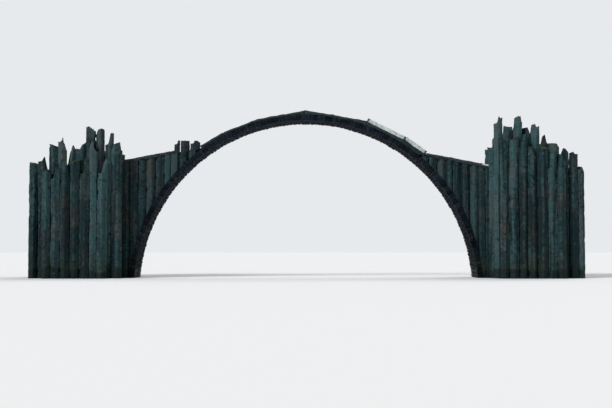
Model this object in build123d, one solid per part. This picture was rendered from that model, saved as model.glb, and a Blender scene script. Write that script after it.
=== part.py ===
from build123d import *

import math
import os
import random

# A rustic moon bridge. A slender round arch of rubble voussoirs carries a narrow walk, and its
# two abutments are clad in upright basalt columns that rise above the walk as jagged towers.
# Millimetres. X runs along the bridge, -Y is the front, Z is up, and the origin is on the water
# line, under the crown. Angles on the arch are in degrees from the vertical, right positive.

# The opening, where the circle is cut by the water line
clear_span = 16260.0
clear_rise = 7520.0

# The arch: voussoirs on both faces, and courses of the barrel between them
ring_depth = 260.0
face_stone_bed = 430.0
keystone_width = 460.0
ring_stones = 29
stone_variety = 0.28
face_relief = 30.0
barrel_courses = 31

# The walk over it, between kerbs of basalt logs laid end to end
walk_width = 1380.0
paving_thickness = 60.0
kerb_width = 260.0
kerb_height = 170.0
kerb_blunting = 45.0
path_log_chamfer = 90.0
path_log_length = 1350.0

# The arch's kerb logs, from the crown outwards: the angle at which each one ends, how high its top
# lies over the back of the ring at the end nearer the crown and at the other, and its chamfer.
# The two big ones lie with a broad slanting side to the front.
left_arch_logs = [(16.0, 220.0, 125.0, 90.0), (28.0, 125.0, 140.0, 90.0), (36.2, 140.0, 165.0, 90.0)]
right_arch_logs = [(19.8, 220.0, 220.0, 90.0), (33.2, 370.0, 370.0, 200.0), (41.0, 390.0, 420.0, 200.0)]

# The shoulders, where the walk leaves the arch and runs down to the banks
left_shoulder_angle = 36.2
right_shoulder_angle = 39.5
path_fall = 0.19
overall_length = 26200.0

# The towers of upright columns, and the single rows that clad the spandrels and the ends. The
# open sides bulge by front_bulge at most, and groove is where a tower stands clear of the kerbs.
column_pitch = 420.0
column_jitter = 0.19
shortest_edge = 45.0
front_bulge = 70.0
groove = 28.0
tower_gap = 330.0
tower_depth = 1090.0
tower_end_margin = 20.0
spandrel_setback = 25.0
end_row_depth = 400.0

# How the columns' tops vary: the slope of a break, the scatter in height, and how much lower
# each row stands, from the walk outwards. The outermost row stops short of both corners, and
# the rear towers are low in the corner beside the arch.
break_slope = 0.4
stub_slope = 0.2
height_scatter = 850.0
row_drops = (700.0, 0.0, 850.0)
outer_row_setback = (450.0, 900.0)
rear_low_corner = 420.0

# Tower tops above the water: share of the tower's length from the arch, and height
tower_profile = [
    (0.00, 7050.0),
    (0.09, 7750.0),
    (0.37, 7900.0),
    (0.46, 7500.0),
    (0.66, 7200.0),
    (0.73, 6650.0),
    (1.00, 5800.0),
]
left_tower_scale = 0.93
rear_tower_scale = 0.96

# Which random arrangement of columns each tower takes, by its face and side
tower_arrangement = {"front left": 5, "rear left": 3, "front right": 5, "rear right": 4}

# Upright stubs that stand in for the first kerb log on the left shoulder's front
stub_run = 1200.0
stub_height = 400.0
stub_rise = 230.0

# Clearance between neighbouring stones
seat = 0.3

# The arch's circle, worked out from the opening
half_span = clear_span / 2
intrados = (half_span**2 + clear_rise**2) / (2 * clear_rise)
extrados = intrados + ring_depth
centre_z = clear_rise - intrados
ring_reach = extrados if centre_z > 0 else math.sqrt(extrados**2 - centre_z**2)

# Half widths and half lengths that the pieces share
walk_half = walk_width / 2
barrel_half = walk_half + kerb_width
barrel_core_half = barrel_half - face_stone_bed
end_x = overall_length / 2
tower_x = ring_reach + tower_gap
end_row_x = end_x - end_row_depth
log_depth = 2 * kerb_width
all_y = 4 * barrel_half
all_z = 2 * extrados

SHOULDER_ANGLE = {-1: left_shoulder_angle, 1: right_shoulder_angle}
ARCH_LOGS = {-1: left_arch_logs, 1: right_arch_logs}
SIDE_NAME = {-1: "left", 1: "right"}
FACE_NAME = {-1: "front", 1: "rear"}


def on_arc(radius, angle):
    """The point in X and Z at an angle round the arch."""
    turn = math.radians(angle)
    return radius * math.sin(turn), centre_z + radius * math.cos(turn)


def foot(radius):
    """The point where a circle round the arch's centre meets the water line."""
    return math.sqrt(radius**2 - centre_z**2), 0.0


def foot_angle(radius):
    return math.degrees(math.acos(-centre_z / radius))


def radial_plane(angle, shift=0.0):
    """The plane through the arch's axis at an angle, facing right, moved that way by shift."""
    turn = math.radians(angle)
    facing = Vector(math.cos(turn), 0, -math.sin(turn))
    return Plane(origin=Vector(0, 0, centre_z) + facing * shift, z_dir=facing)


def upright_plane(x, shift=0.0):
    """The upright plane across the bridge at a place along it, facing right, moved by shift."""
    return Plane(origin=(x + shift, 0, 0), z_dir=(1, 0, 0))


def trimmed(solid, plane, keep):
    return split(solid, bisect_by=plane, keep=keep)


def between(solid, left, right):
    """What a solid has between two planes that both face right."""
    return trimmed(trimmed(solid, left, Keep.TOP), right, Keep.BOTTOM)


def slab(outline, y_low, y_high):
    """A solid with an outline in X and Z, between two faces across the bridge."""
    return extrude(Plane.XZ.offset(-y_high) * make_face(outline), amount=y_high - y_low)


def straight(points):
    return Polyline(*points, close=True)


def uneven_steps(count, low, high, seed):
    """Count + 1 places from low to high, at unequal steps."""
    draw = random.Random(seed)
    steps = [1 + stone_variety * draw.uniform(-1, 1) for _ in range(count)]
    places = [low]
    for step in steps:
        places.append(places[-1] + step * (high - low) / sum(steps))
    return places


# The arch


def joint_angle(radius):
    """Half the clearance between two stones, as an angle at a radius."""
    return math.degrees(seat / 2 / radius)


def wedge(from_angle, to_angle):
    """The outline of a stone of the ring between two angles, the second one lower down."""
    return straight(
        [
            on_arc(intrados, from_angle + joint_angle(intrados)),
            on_arc(extrados, from_angle + joint_angle(extrados)),
            on_arc(extrados, to_angle - joint_angle(extrados)),
            on_arc(intrados, to_angle - joint_angle(intrados)),
        ]
    )


def springer(from_angle):
    """The outline of a ring's lowest stone, cut level at the water line."""
    return straight(
        [
            on_arc(intrados, from_angle + joint_angle(intrados)),
            on_arc(extrados, from_angle + joint_angle(extrados)),
            foot(extrados),
            foot(intrados),
        ]
    )


def half_ring(first_angle, stones, y_low, y_high, seed):
    """The stones of the right half of a ring, from beside its keystone to the water."""
    turns = uneven_steps(stones, first_angle, foot_angle(intrados), seed)
    outlines = [wedge(a, b) for a, b in zip(turns[:-2], turns[1:-1])]
    outlines.append(springer(turns[-2]))
    return [slab(outline, y_low, y_high) for outline in outlines]


def face_ring(side, face):
    """The voussoirs of one face on one side, standing proud of the face by unequal amounts."""
    seed = f"ring {side} {face}"
    draw = random.Random(seed)
    stones = half_ring(keystone_angle, ring_stones, barrel_core_half + seat, barrel_half, seed)
    proud = []
    for stone in stones:
        front = stone.faces().sort_by(Axis.Y)[-1]
        proud.append(stone + extrude(front, amount=face_relief * draw.random()))
    return [turned(stone, side, face) for stone in proud]


def turned(solid, side, face):
    """A solid made for the right side and the rear, mirrored to its own side and face."""
    if side < 0:
        solid = mirror(solid, about=Plane.YZ)
    if face < 0:
        solid = mirror(solid, about=Plane.XZ)
    return solid


keystone_angle = math.degrees(keystone_width / 2 / extrados)


def keystone(face):
    outline = wedge(-keystone_angle, keystone_angle)
    stone = slab(outline, barrel_core_half + seat, barrel_half + face_relief)
    return [turned(stone, 1, face)]


def barrel():
    """Courses of the barrel between the two faces: a crown course, and a half on each side."""
    crown_angle = foot_angle(intrados) / barrel_courses
    core = (-barrel_core_half, barrel_core_half)
    courses = [slab(wedge(-crown_angle, crown_angle), *core)]
    for side in (-1, 1):
        half = half_ring(crown_angle, (barrel_courses - 1) // 2, *core, f"barrel {side}")
        courses += [turned(course, side, 1) for course in half]
    return courses


# The kerbs: basalt logs that lie end to end along both edges of the walk


def kerb_profile(face, chamfer):
    """A log's section, hung below its top, with a broad chamfer towards its face."""
    half = kerb_width / 2 - seat
    points = [
        (-half, -log_depth),
        (half, -log_depth),
        (half, -chamfer),
        (half - chamfer * 0.85, 0),
        (kerb_blunting - half, 0),
        (-half, -kerb_blunting),
    ]
    return make_face(straight([(face * y, z) for y, z in points]))


def log(start, end, face, chamfer):
    """A straight log with its top on the line between two points, and running on past both."""
    ends = sorted([start, end])
    along = Vector(ends[1][0] - ends[0][0], 0, ends[1][1] - ends[0][1]).normalized()
    length = math.dist(start, end) + 2 * log_depth
    first = Vector(ends[0][0], face * (walk_half + kerb_width / 2), ends[0][1])
    section = Plane(origin=first - along * log_depth, x_dir=(0, 1, 0), z_dir=along)
    return extrude(section * kerb_profile(face, chamfer), amount=length)


def arch_body(reach):
    """Everything within a radius of the arch's axis, down to the water line."""
    body = Pos(0, 0, centre_z) * Rot(90, 0, 0) * Cylinder(reach, 2 * all_y)
    if centre_z > 0:
        stilt = Box(2 * reach, 2 * all_y, centre_z, align=(Align.CENTER, Align.CENTER, Align.MIN))
        body += stilt
    return body


def arch_kerb(side, face):
    """The logs of one edge from the crown to the shoulder, cut to seat on what they lie on."""
    logs = []
    near = 0.0
    for far, near_rise, far_rise, chamfer in ARCH_LOGS[side]:
        top = on_arc(extrados + near_rise, side * near), on_arc(extrados + far_rise, side * far)
        low, high = sorted((side * near, side * far))
        solid = log(*top, face, chamfer)
        solid = between(solid, radial_plane(low, seat / 2), radial_plane(high, -seat / 2))
        if far > SHOULDER_ANGLE[side]:
            solid = trimmed(solid, path_plane(side, seat / 2), Keep.TOP)
        logs.append(solid - arch_body(extrados + seat))
        near = far
    return logs


def shoulder(side):
    """Where the walk leaves the ring, in X and Z."""
    return on_arc(extrados, side * SHOULDER_ANGLE[side])


def path_z(side, x):
    """The level on which the path's paving and kerbs lie, at a place along the bridge."""
    start_x, start_z = shoulder(side)
    return start_z - path_fall * (abs(x) - abs(start_x))


def path_plane(side, rise=0.0):
    """The path's level as a plane that faces up, moved up by rise."""
    start_x, start_z = shoulder(side)
    origin = Vector(start_x, 0, start_z + rise)
    return Plane(origin=origin, x_dir=(1, 0, -side * path_fall), z_dir=(side * path_fall, 0, 1))


def last_log_end(side):
    """Where the end of the arch's last log meets the path's level, as a distance from the crown."""
    slope = math.tan(math.radians(ARCH_LOGS[side][-1][0]))
    return (path_z(side, 0.0) - centre_z) * slope / (1 + path_fall * slope)


def path_kerb(side, face):
    """The logs of one edge from the arch's last log to the end of the abutment.

    On the left shoulder's front the stubs take the first one's place."""
    start_x = last_log_end(side)
    first_end = radial_plane(side * ARCH_LOGS[side][-1][0], side * seat / 2)
    if (side, face) == (-1, -1):
        start_x = stub_start_x() + stub_run
        first_end = upright_plane(side * start_x, side * seat / 2)
    count = round((end_x - start_x) / path_log_length)
    places = uneven_steps(count, start_x, end_x, f"path kerb {side} {face}")
    logs = []
    for near, far in zip(places, places[1:]):
        top = [(side * x, path_z(side, x) + kerb_height) for x in (near, far)]
        near_end = first_end if near == start_x else upright_plane(side * near, side * seat / 2)
        far_end = upright_plane(side * far, 0.0 if far == places[-1] else -side * seat / 2)
        solid = between(log(*top, face, path_log_chamfer), *(near_end, far_end)[::side])
        logs.append(trimmed(solid, path_plane(side, seat / 2), Keep.TOP))
    return logs


# The paving


def arch_paving():
    """The bed of setts over the arch, between the kerbs."""
    low, high = extrados + seat, extrados + paving_thickness
    angles = [-left_shoulder_angle, right_shoulder_angle]
    middle = sum(angles) / 2
    under = ThreePointArc(*[on_arc(low, a) for a in (angles[0], middle, angles[1])])
    over = ThreePointArc(*[on_arc(high, a) for a in (angles[1], middle, angles[0])])
    ends = [Line(on_arc(low, a), on_arc(high, a)) for a in angles]
    bed = slab(under + over + ends, -walk_half + seat, walk_half - seat)
    return [between(bed, radial_plane(angles[0], seat / 2), radial_plane(angles[1], -seat / 2))]


def path_paving(side):
    """The bed of setts from the shoulder to the end, level with the arch's at the shoulder."""
    turn = math.radians(SHOULDER_ANGLE[side])
    rise = paving_thickness * (math.cos(turn) + path_fall * math.sin(turn))
    start_x = abs(shoulder(side)[0]) - kerb_height
    bed = block(side, start_x, 2 * end_x, walk_half)
    bed = trimmed(bed, path_plane(side, seat / 2), Keep.TOP)
    bed = trimmed(bed, path_plane(side, rise), Keep.BOTTOM)
    mitre = radial_plane(side * SHOULDER_ANGLE[side], side * seat / 2)
    return [between(bed, *(mitre, upright_plane(side * end_x))[::side])]


# The abutments' fill


def block(side, near, far, half):
    """A block far taller than the bridge, from near to far along it and half to either side."""
    low, high = sorted((side * near, side * far))
    outline = [(low, 0), (high, 0), (high, all_z), (low, all_z)]
    return slab(straight(outline), -half + seat, half - seat)


def spandrel_fill(side):
    """Rubble between the spandrel walls, from the back of the ring to the tower."""
    start_x = abs(shoulder(side)[0])
    rough = trimmed(block(side, start_x, tower_x, walk_half), path_plane(side, -seat / 2), Keep.BOTTOM)
    return [rough - arch_body(extrados + seat)]


def tower_fill(side):
    """Rubble between the two towers, under the path."""
    rough = block(side, tower_x + seat, end_row_x - seat, barrel_half)
    return [trimmed(rough, path_plane(side, -seat / 2), Keep.BOTTOM)]


# The upright columns


def clipped(outline, at, facing):
    """What is left of a convex outline behind the line through a point, seen from its facing."""
    kept = []
    for here, there in zip(outline, outline[1:] + outline[:1]):
        before, after = (here - at).dot(facing), (there - at).dot(facing)
        if before <= 0:
            kept.append(here)
        if before * after < 0:
            kept.append(here + (there - here) * (before / (before - after)))
    return kept


def without_short_edges(outline):
    """The same convex outline with corners dropped where two stand too close together."""
    kept = []
    for corner in outline:
        if not kept or (corner - kept[-1]).length > shortest_edge:
            kept.append(corner)
    if len(kept) > 1 and (kept[0] - kept[-1]).length <= shortest_edge:
        kept.pop()
    return kept


def packed_outlines(x_span, y_span, bulges, seed):
    """Outlines of columns packed tight in a rectangle, with the row that each one stands in.

    Every column takes the ground nearest to its own centre. A side whose bulge is None is flush
    with what stands there. On the others the outlines end as they would against more columns,
    and reach past the side by the bulge at most. Bulges are for low x, high x, low y, high y."""
    (x0, x1), (y0, y1) = x_span, y_span
    columns = max(1, round((x1 - x0) / column_pitch))
    rows = max(1, round((y1 - y0) / (column_pitch * math.sqrt(0.75))))
    step_x, step_y = (x1 - x0) / columns, (y1 - y0) / rows
    draw = random.Random(seed)
    centres = {}
    for row in range(-1, rows + 1):
        for column in range(-1, columns + 1):
            x = x0 + step_x * (column + 0.5 + (0.25 if row % 2 else -0.25))
            y = y0 + step_y * (row + 0.5)
            jitter = [column_jitter * column_pitch * draw.uniform(-1, 1) for _ in range(2)]
            centres[column, row] = Vector(x + jitter[0], y + jitter[1])
    beyond = [
        lambda c, r: c < 0,
        lambda c, r: c >= columns,
        lambda c, r: r < 0,
        lambda c, r: r >= rows,
    ]
    flush = [test for test, bulge in zip(beyond, bulges) if bulge is None]
    others = {key: c for key, c in centres.items() if not any(test(*key) for test in flush)}
    reach = [bulge or 0.0 for bulge in bulges]
    low = Vector(x0 - reach[0] + seat / 2, y0 - reach[2] + seat / 2)
    high = Vector(x1 + reach[1] - seat / 2, y1 + reach[3] - seat / 2)
    corners = [low, Vector(high.X, low.Y), high, Vector(low.X, high.Y)]
    found = []
    for (column, row), centre in centres.items():
        if not (0 <= column < columns and 0 <= row < rows):
            continue
        outline = corners
        for key, other in others.items():
            away = other - centre
            if key != (column, row) and away.length < 3 * column_pitch:
                facing = away.normalized()
                outline = clipped(outline, centre + away / 2 - facing * (seat / 2), facing)
        found.append((without_short_edges(outline), row, rows))
    return found


def prism(outline, low, high):
    """An upright prism with an outline in plan."""
    return Pos(0, 0, low) * extrude(make_face(straight([(p.X, p.Y) for p in outline])), high - low)


def middle_of(outline):
    return sum(outline, Vector(0, 0)) / len(outline)


def broken_plane(at, height, slope, draw):
    """The tilted plane along which a column broke off at a height, as steep as slope at most."""
    lean = Vector(draw.uniform(-1, 1), draw.uniform(-1, 1)) * slope
    return Plane(origin=(at.X, at.Y, height), z_dir=(lean.X, lean.Y, 1))


def profile_height(share):
    """A tower's height at a share of its length from the arch."""
    for (s0, h0), (s1, h1) in zip(tower_profile, tower_profile[1:]):
        if share <= s1:
            return h0 + (h1 - h0) * max(0.0, share - s0) / (s1 - s0)
    return tower_profile[-1][1]


def facing_out(side, face, low, high, inner, outer):
    """Spans and bulges for a strip beside the walk: low and high along it, inner and outer across.

    Inner and outer are pairs of a distance from the bridge's middle and the bulge there."""
    x_span = (low[0], high[0]) if side > 0 else (-high[0], -low[0])
    y_span = (inner[0], outer[0]) if face > 0 else (-outer[0], -inner[0])
    bulges = [low[1], high[1]][::side] + [inner[1], outer[1]][::face]
    return x_span, y_span, bulges


def tower_columns(side, face):
    """Full-height columns beside the path, higher than it, stepping down to the bank.

    The outermost row stands back from both corners."""
    spans = facing_out(
        side,
        face,
        (tower_x, front_bulge),
        (end_x, -tower_end_margin),
        (barrel_half - groove, -groove),
        (barrel_half + tower_depth, front_bulge),
    )
    arrangement = tower_arrangement[f"{FACE_NAME[face]} {SIDE_NAME[side]}"]
    seed = f"tower {side} {face} {arrangement}"
    draw = random.Random(seed)
    scale = (left_tower_scale if side < 0 else 1.0) * (rear_tower_scale if face > 0 else 1.0)
    columns = []
    for outline, row, rows in packed_outlines(*spans, seed):
        at = middle_of(outline)
        rank = row if face > 0 else rows - 1 - row
        outermost = rank == rows - 1
        clear = abs(at.X) < tower_x + outer_row_setback[0] or abs(at.X) > end_x - outer_row_setback[1]
        if outermost and clear:
            continue
        share = (abs(at.X) - tower_x) / (end_x - tower_x)
        drop = row_drops[min(rank, len(row_drops) - 1)] + height_scatter * draw.random()
        kerb_top = path_z(side, at.X) + kerb_height
        height = max(kerb_top, profile_height(share) * scale - drop)
        if face > 0 and abs(at.X) < tower_x + rear_low_corner:
            height = kerb_top
        rough = prism(outline, 0.0, height + column_pitch)
        columns.append(trimmed(rough, broken_plane(at, height, break_slope, draw), Keep.BOTTOM))
    return columns


def spandrel_columns(side, face):
    """Columns that face the spandrel: they stand on the ring's back and carry the kerb."""
    start_x = abs(shoulder(side)[0]) + kerb_height
    spans = facing_out(
        side,
        face,
        (start_x, 0.0),
        (tower_x, None),
        (walk_half, None),
        (barrel_half - spandrel_setback, spandrel_setback),
    )
    columns = []
    for outline, _, _ in packed_outlines(*spans, f"spandrel {side} {face}"):
        rough = prism(outline, 0.0, all_z)
        rough = trimmed(rough, path_plane(side, -seat / 2), Keep.BOTTOM)
        columns.append(rough - arch_body(extrados + seat))
    return columns


def end_columns(side):
    """The row that closes the end of the abutment between the towers, under the paving."""
    spans = facing_out(
        side,
        1,
        (end_row_x, None),
        (end_x, -tower_end_margin),
        (-barrel_half + seat, None),
        (barrel_half - seat, None),
    )
    columns = []
    for outline, _, _ in packed_outlines(*spans, f"end {side}"):
        rough = prism(outline, 0.0, all_z)
        columns.append(trimmed(rough, path_plane(side, -seat / 2), Keep.BOTTOM))
    return columns


def stub_start_x():
    """Where the stubs begin on the left shoulder, clear of the arch's last kerb log."""
    far, _, far_rise, _ = left_arch_logs[-1]
    return on_arc(extrados + far_rise, far)[0] + seat


def parapet_stubs():
    """Short upright columns on the left shoulder's front edge, rising towards the tower."""
    near = stub_start_x()
    spans = facing_out(
        -1,
        -1,
        (near, None),
        (near + stub_run, None),
        (walk_half, None),
        (barrel_half - spandrel_setback, spandrel_setback),
    )
    draw = random.Random("stubs")
    stubs = []
    for outline, _, _ in packed_outlines(*spans, "stubs"):
        at = middle_of(outline)
        rise = stub_height + stub_rise * (abs(at.X) - near) / stub_run
        rough = prism(outline, 0.0, all_z)
        rough = trimmed(rough, path_plane(-1, seat / 2), Keep.TOP)
        top = path_z(-1, at.X) + rise
        stubs.append(trimmed(rough, broken_plane(at, top, stub_slope, draw), Keep.BOTTOM))
    return stubs


def bridge():
    """Every named piece of the bridge, each a list of solids."""
    pieces = {"barrel_courses": barrel(), "arch_paving": arch_paving()}
    pieces["front_left_parapet_stubs"] = parapet_stubs()
    for face, face_name in FACE_NAME.items():
        pieces[f"{face_name}_keystone"] = keystone(face)
        for side, side_name in SIDE_NAME.items():
            corner = f"{face_name}_{side_name}"
            pieces[f"{corner}_ring_stones"] = face_ring(side, face)
            pieces[f"{corner}_arch_kerb"] = arch_kerb(side, face)
            pieces[f"{corner}_path_kerb"] = path_kerb(side, face)
            pieces[f"{corner}_spandrel_columns"] = spandrel_columns(side, face)
            pieces[f"{corner}_tower_columns"] = tower_columns(side, face)
    for side, side_name in SIDE_NAME.items():
        pieces[f"{side_name}_path_paving"] = path_paving(side)
        pieces[f"{side_name}_spandrel_fill"] = spandrel_fill(side)
        pieces[f"{side_name}_tower_fill"] = tower_fill(side)
        pieces[f"{side_name}_end_columns"] = end_columns(side)
    return pieces


os.makedirs("parts", exist_ok=True)
for name, solids in bridge().items():
    export_step(Compound(children=[s for solid in solids for s in solid.solids()]), f"parts/{name}.step")
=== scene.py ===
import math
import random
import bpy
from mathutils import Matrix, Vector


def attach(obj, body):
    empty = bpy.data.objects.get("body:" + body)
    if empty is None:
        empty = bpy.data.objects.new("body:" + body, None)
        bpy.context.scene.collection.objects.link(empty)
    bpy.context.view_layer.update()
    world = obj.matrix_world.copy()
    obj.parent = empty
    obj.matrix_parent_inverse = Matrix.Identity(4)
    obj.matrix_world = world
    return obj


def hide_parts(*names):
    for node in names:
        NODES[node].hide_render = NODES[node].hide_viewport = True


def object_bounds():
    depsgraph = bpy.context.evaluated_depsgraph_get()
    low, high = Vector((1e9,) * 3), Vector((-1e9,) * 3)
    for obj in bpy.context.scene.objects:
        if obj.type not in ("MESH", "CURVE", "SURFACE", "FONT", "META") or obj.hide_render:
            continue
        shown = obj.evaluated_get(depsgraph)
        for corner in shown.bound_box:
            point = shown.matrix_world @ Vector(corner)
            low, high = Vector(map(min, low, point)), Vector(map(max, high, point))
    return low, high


bl_info = {
    "name": "Basalt moon bridge",
    "version": (1, 0, 0),
    "blender": (4, 5, 0),
    "location": "View3D > Sidebar > Moon Bridge",
    "description": "Builds the rough stones of a moon bridge round its packed frame",
    "category": "Object",
}

from itertools import pairwise, product

import bmesh
import bpy
from bpy.props import FloatProperty, FloatVectorProperty, PointerProperty
from bpy.types import Operator, Panel, PropertyGroup
from mathutils import Vector, noise

# Metres. X runs along the bridge, -Y is the front, Z is up from the water line.
# Angles on the arch are measured from the crown, right positive.

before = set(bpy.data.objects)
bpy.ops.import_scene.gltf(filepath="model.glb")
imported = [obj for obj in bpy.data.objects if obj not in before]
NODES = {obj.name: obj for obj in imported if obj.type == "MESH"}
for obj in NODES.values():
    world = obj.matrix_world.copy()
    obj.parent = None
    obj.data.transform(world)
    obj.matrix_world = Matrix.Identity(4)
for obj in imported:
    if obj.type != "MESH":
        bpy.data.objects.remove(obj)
frame_box = [list(corner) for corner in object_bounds()]
SIDES = ("left", "right")
FACES = ("front", "rear")

# Points nearer together than this are one point
WELD = 0.00005
# Points lower than this stand on the water line
WATER_LINE = 0.0005
# Faces of a solid that turn by less than this from one another are one flat face
FLAT_TURN = math.radians(0.5)
# Decimals that tell corners apart by the millimetre
MILLIMETRES = 3


def corners_of(node):
    """The corners of a frame node's solids."""
    return [v.co for v in NODES[node].data.vertices]


def arch_circle():
    """The height of the arch's centre, its inner radius and its outer radius.

    They are read from the feet of the ring, and from the keystone's lower corners."""
    feet = [co.x for co in corners_of("front_right_ring_stones") if co.z < WATER_LINE]
    corner = min(corners_of("front_keystone"), key=lambda co: co.z)
    centre = (corner.x**2 + corner.z**2 - min(feet) ** 2) / (2 * corner.z)
    return centre, math.hypot(min(feet), centre), math.hypot(max(feet), centre)


ARCH_Z, INTRADOS, EXTRADOS = arch_circle()


# What a user would change


def amount(name, description, default, **kind):
    return FloatProperty(name=name, description=description, default=default, min=0.0, **kind)


def length(name, description, default):
    return amount(name, description, default, unit="LENGTH")


def share(name, description, default):
    return amount(name, description, default, max=1.0, subtype="FACTOR")


def colour(name, description, default):
    return FloatVectorProperty(
        name=name, description=description, default=default, size=3, min=0.0, max=1.0, subtype="COLOR"
    )


class SkinSizes(PropertyGroup):
    """How rough the skin of every stone is."""

    swell: length("Swell", "How far a stone's faces swell and sink", 0.007)
    flake: length("Flake", "How far the flat flakes of a face stand over each other", 0.022)
    knock: length("Knock", "How deep the small knocks are", 0.004)
    chip: length("Chip", "How much is chipped off an edge at most", 0.13)


class ColumnSizes(PropertyGroup):
    """The upright columns of the towers, the spandrels and the ends."""

    corner: length("Corner", "How far an upright corner is blunted", 0.013)
    open_joint: length("Open joint", "How far a column's skin stands back from its neighbour's", 0.008)
    ring_step: length("Ring step", "Height between the rings of points of a column", 0.10)
    side_step: length("Side step", "Distance between points along a column's side", 0.085)
    block: length("Block", "Usual height between two cross joints", 1.5)
    cross_joint: length("Cross joint", "How deep a cross joint is", 0.012)
    joint_slope: share("Joint slope", "How steep a cross joint is at most, as rise over run", 0.16)
    shift: length("Shift", "How far a block is out of line with the one under it", 0.011)
    wander: length("Wander", "How far a column strays from the upright", 0.022)
    tower_break: length("Tower break", "How deep the heads of the towers have split off at most", 0.85)
    stub_break: length("Stub break", "How deep the heads of the stubs have split off at most", 0.22)


class RingSizes(PropertyGroup):
    """The voussoirs and the barrel's stones."""

    slab: length("Slab", "Usual thickness of a stone along the arch", 0.20)
    joint: length("Joint", "Width of a joint", 0.013)
    rounding: length("Rounding", "How far a stone's edges are rounded", 0.022)
    cell: length("Cell", "Distance between points on a stone", 0.065)
    relief: length("Relief", "How unevenly the stones stand in the face", 0.016)
    soffit_stone: length("Soffit stone", "Usual width of a barrel stone across the bridge", 0.30)
    bed_depth: length("Bed depth", "How far the joints' bed lies behind the stones' skin", 0.034)


class KerbSizes(PropertyGroup):
    """The basalt logs that edge the walk."""

    blunt: length("Blunt", "How far a log's edges are worn round", 0.018)
    cell: length("Cell", "Distance between points along a log", 0.06)
    gap: length("Gap", "How far a log's end stands back from the next one", 0.003)
    # Painted highlight: the pale strip on a log's slanting side fades out towards its ends
    stained_end: length("Highlight fade", "How far from its ends a log's painted highlight fades in", 0.16)


class PavingSizes(PropertyGroup):
    """The setts of the walk."""

    sett: length("Sett", "Usual width of a sett", 0.165)
    joint: length("Joint", "Width of the joint between two setts", 0.016)
    crown: length("Crown", "How far a sett stands proud of the bed", 0.016)
    sunk: length("Sunk", "How deep a sett is set in the bed", 0.03)
    rounding: length("Rounding", "How far a sett's corners are rounded", 0.03)


class Finishes(PropertyGroup):
    """Colours of the stones and of what grows on them."""

    # Partly the arch's own dark basalt, partly painted shade: the ring and the soffit are near black,
    # darker than the stone's own colour
    ring_dark: colour("Ring, dark", "Darkest basalt of the arch", (0.001, 0.0025, 0.005))
    ring_pale: colour("Ring, pale", "Palest basalt of the arch", (0.011, 0.0195, 0.031))
    column_dark: colour("Column, dark", "Darkest basalt of the columns", (0.004, 0.015, 0.018))
    column_pale: colour("Column, pale", "Palest basalt of the columns", (0.036, 0.081, 0.087))
    # Painted shade: the spandrels' columns are darkened beside the towers', for the shade under the walk's
    # edge
    spandrel_painted_shade: share("Spandrel painted shade", "How pale a spandrel's columns are beside the towers'", 0.72)
    # Partly the logs' own dark basalt, partly painted shade: near black like the ring
    kerb_dark: colour("Kerb, dark", "Darkest basalt of the kerb logs", (0.002, 0.005, 0.008))
    kerb_pale: colour("Kerb, pale", "Palest basalt of the kerb logs", (0.024, 0.038, 0.048))
    # Painted highlight: the pale strip where light catches the worn slanting side of some logs
    kerb_bare: colour("Kerb, bare", "Painted highlight on the worn slanting sides of logs", (0.54, 0.60, 0.59))
    rust: colour("Rust stain", "Brown stain that the stone's iron leaves", (0.045, 0.034, 0.022))
    sett_dark: colour("Sett, dark", "Darkest sett", (0.028, 0.034, 0.036))
    sett_pale: colour("Sett, pale", "Palest, most worn sett", (0.14, 0.15, 0.145))
    earth: colour("Earth", "Earth in the joints", (0.022, 0.018, 0.012))
    moss: colour("Moss", "Moss on ledges and in joints", (0.037, 0.049, 0.016))
    slime: colour("Slime", "Green slime just over the water line", (0.014, 0.026, 0.010))
    lichen: colour("Lichen", "Spots of lichen", (0.20, 0.23, 0.19))
    moss_cover: share("Moss cover", "How much of the level stone has moss", 0.42)
    lichen_cover: share("Lichen cover", "How much of the stone has lichen", 0.12)


class StageSizes(PropertyGroup):
    """Camera, floor and light."""

    eye_distance: length("Eye distance", "How far the camera stands in front of the bridge", 51.0)
    eye_height: length("Eye height", "Height of the camera over the water line", 1.4)
    aim_height: length("Aim height", "Height of the point in the middle of the picture", 3.55)
    lens: amount("Lens", "Focal length", 62.0, unit="CAMERA")
    floor_radius: length("Floor radius", "Radius of the round floor", 320.0)
    floor_colour: colour("Floor", "Colour of the floor", (0.80, 0.81, 0.82))
    backdrop_colour: colour("Backdrop", "Colour behind the bridge", (0.80, 0.82, 0.84))
    key_light: amount("Key light", "Strength of the lamp in front of the bridge, on the left", 2.5)
    sky_light: amount("Sky light", "Strength of the lamp high behind the bridge", 1.1)
    even_light: amount("Even light", "Strength of the light from all round", 0.32)


class BridgeSettings(PropertyGroup):
    """Everything about the bridge that a user would change."""

    skin: PointerProperty(type=SkinSizes)
    columns: PointerProperty(type=ColumnSizes)
    ring: PointerProperty(type=RingSizes)
    kerbs: PointerProperty(type=KerbSizes)
    paving: PointerProperty(type=PavingSizes)
    finishes: PointerProperty(type=Finishes)
    stage: PointerProperty(type=StageSizes)


def settings():
    return bpy.context.scene.moon_bridge


# Stones as points and faces

# Edges of a stone that turn by more than this, in degrees, show as sharp ones
CREASE = 27
# How far from its origin the noise is read
NOISE_REACH = 200


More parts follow.
